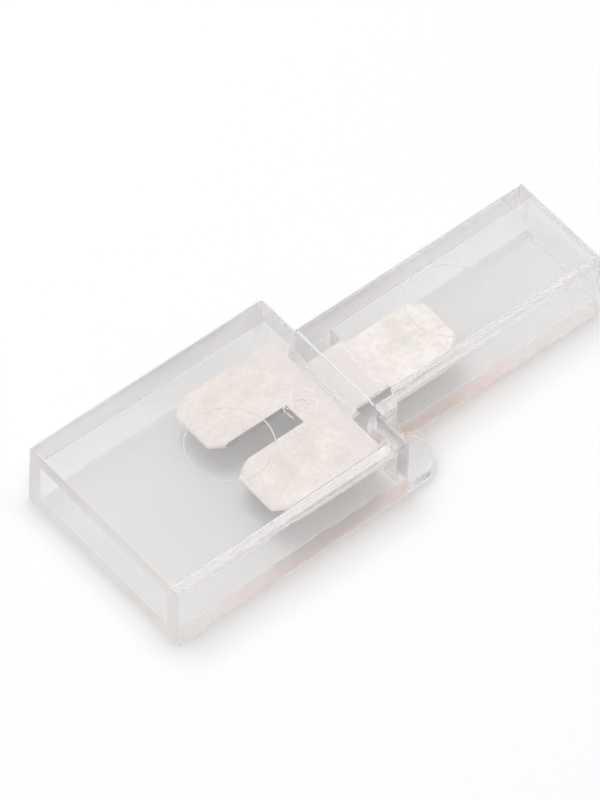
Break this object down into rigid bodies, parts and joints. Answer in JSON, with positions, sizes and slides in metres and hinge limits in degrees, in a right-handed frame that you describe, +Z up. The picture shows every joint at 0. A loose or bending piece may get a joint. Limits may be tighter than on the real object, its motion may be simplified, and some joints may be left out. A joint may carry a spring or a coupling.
{
  "type": "three-way spade connector",
  "caption": "Clear moulded connector housing with a flat blade plate inside: spade tabs side by side in the wide socket, and another tab in the narrow socket opposite.",
  "frame": {"origin": "on the base plane, below the middle of the housing, where the narrow body leaves the wide one", "axes": "+X from the wide end to the narrow end, along the tabs; +Y across the width; +Z up from the flat base"},
  "size_m": [0.0524, 0.0206, 0.0077],
  "materials": {
    "clear_plastic": "clear, slightly smoky",
    "blade_metal": "satin, pale and a little mottled"
  },
  "bodies": {
    "root": {"housing": "clear_plastic", "blade_plate": "blade_metal"}
  },
  "joints": []
}
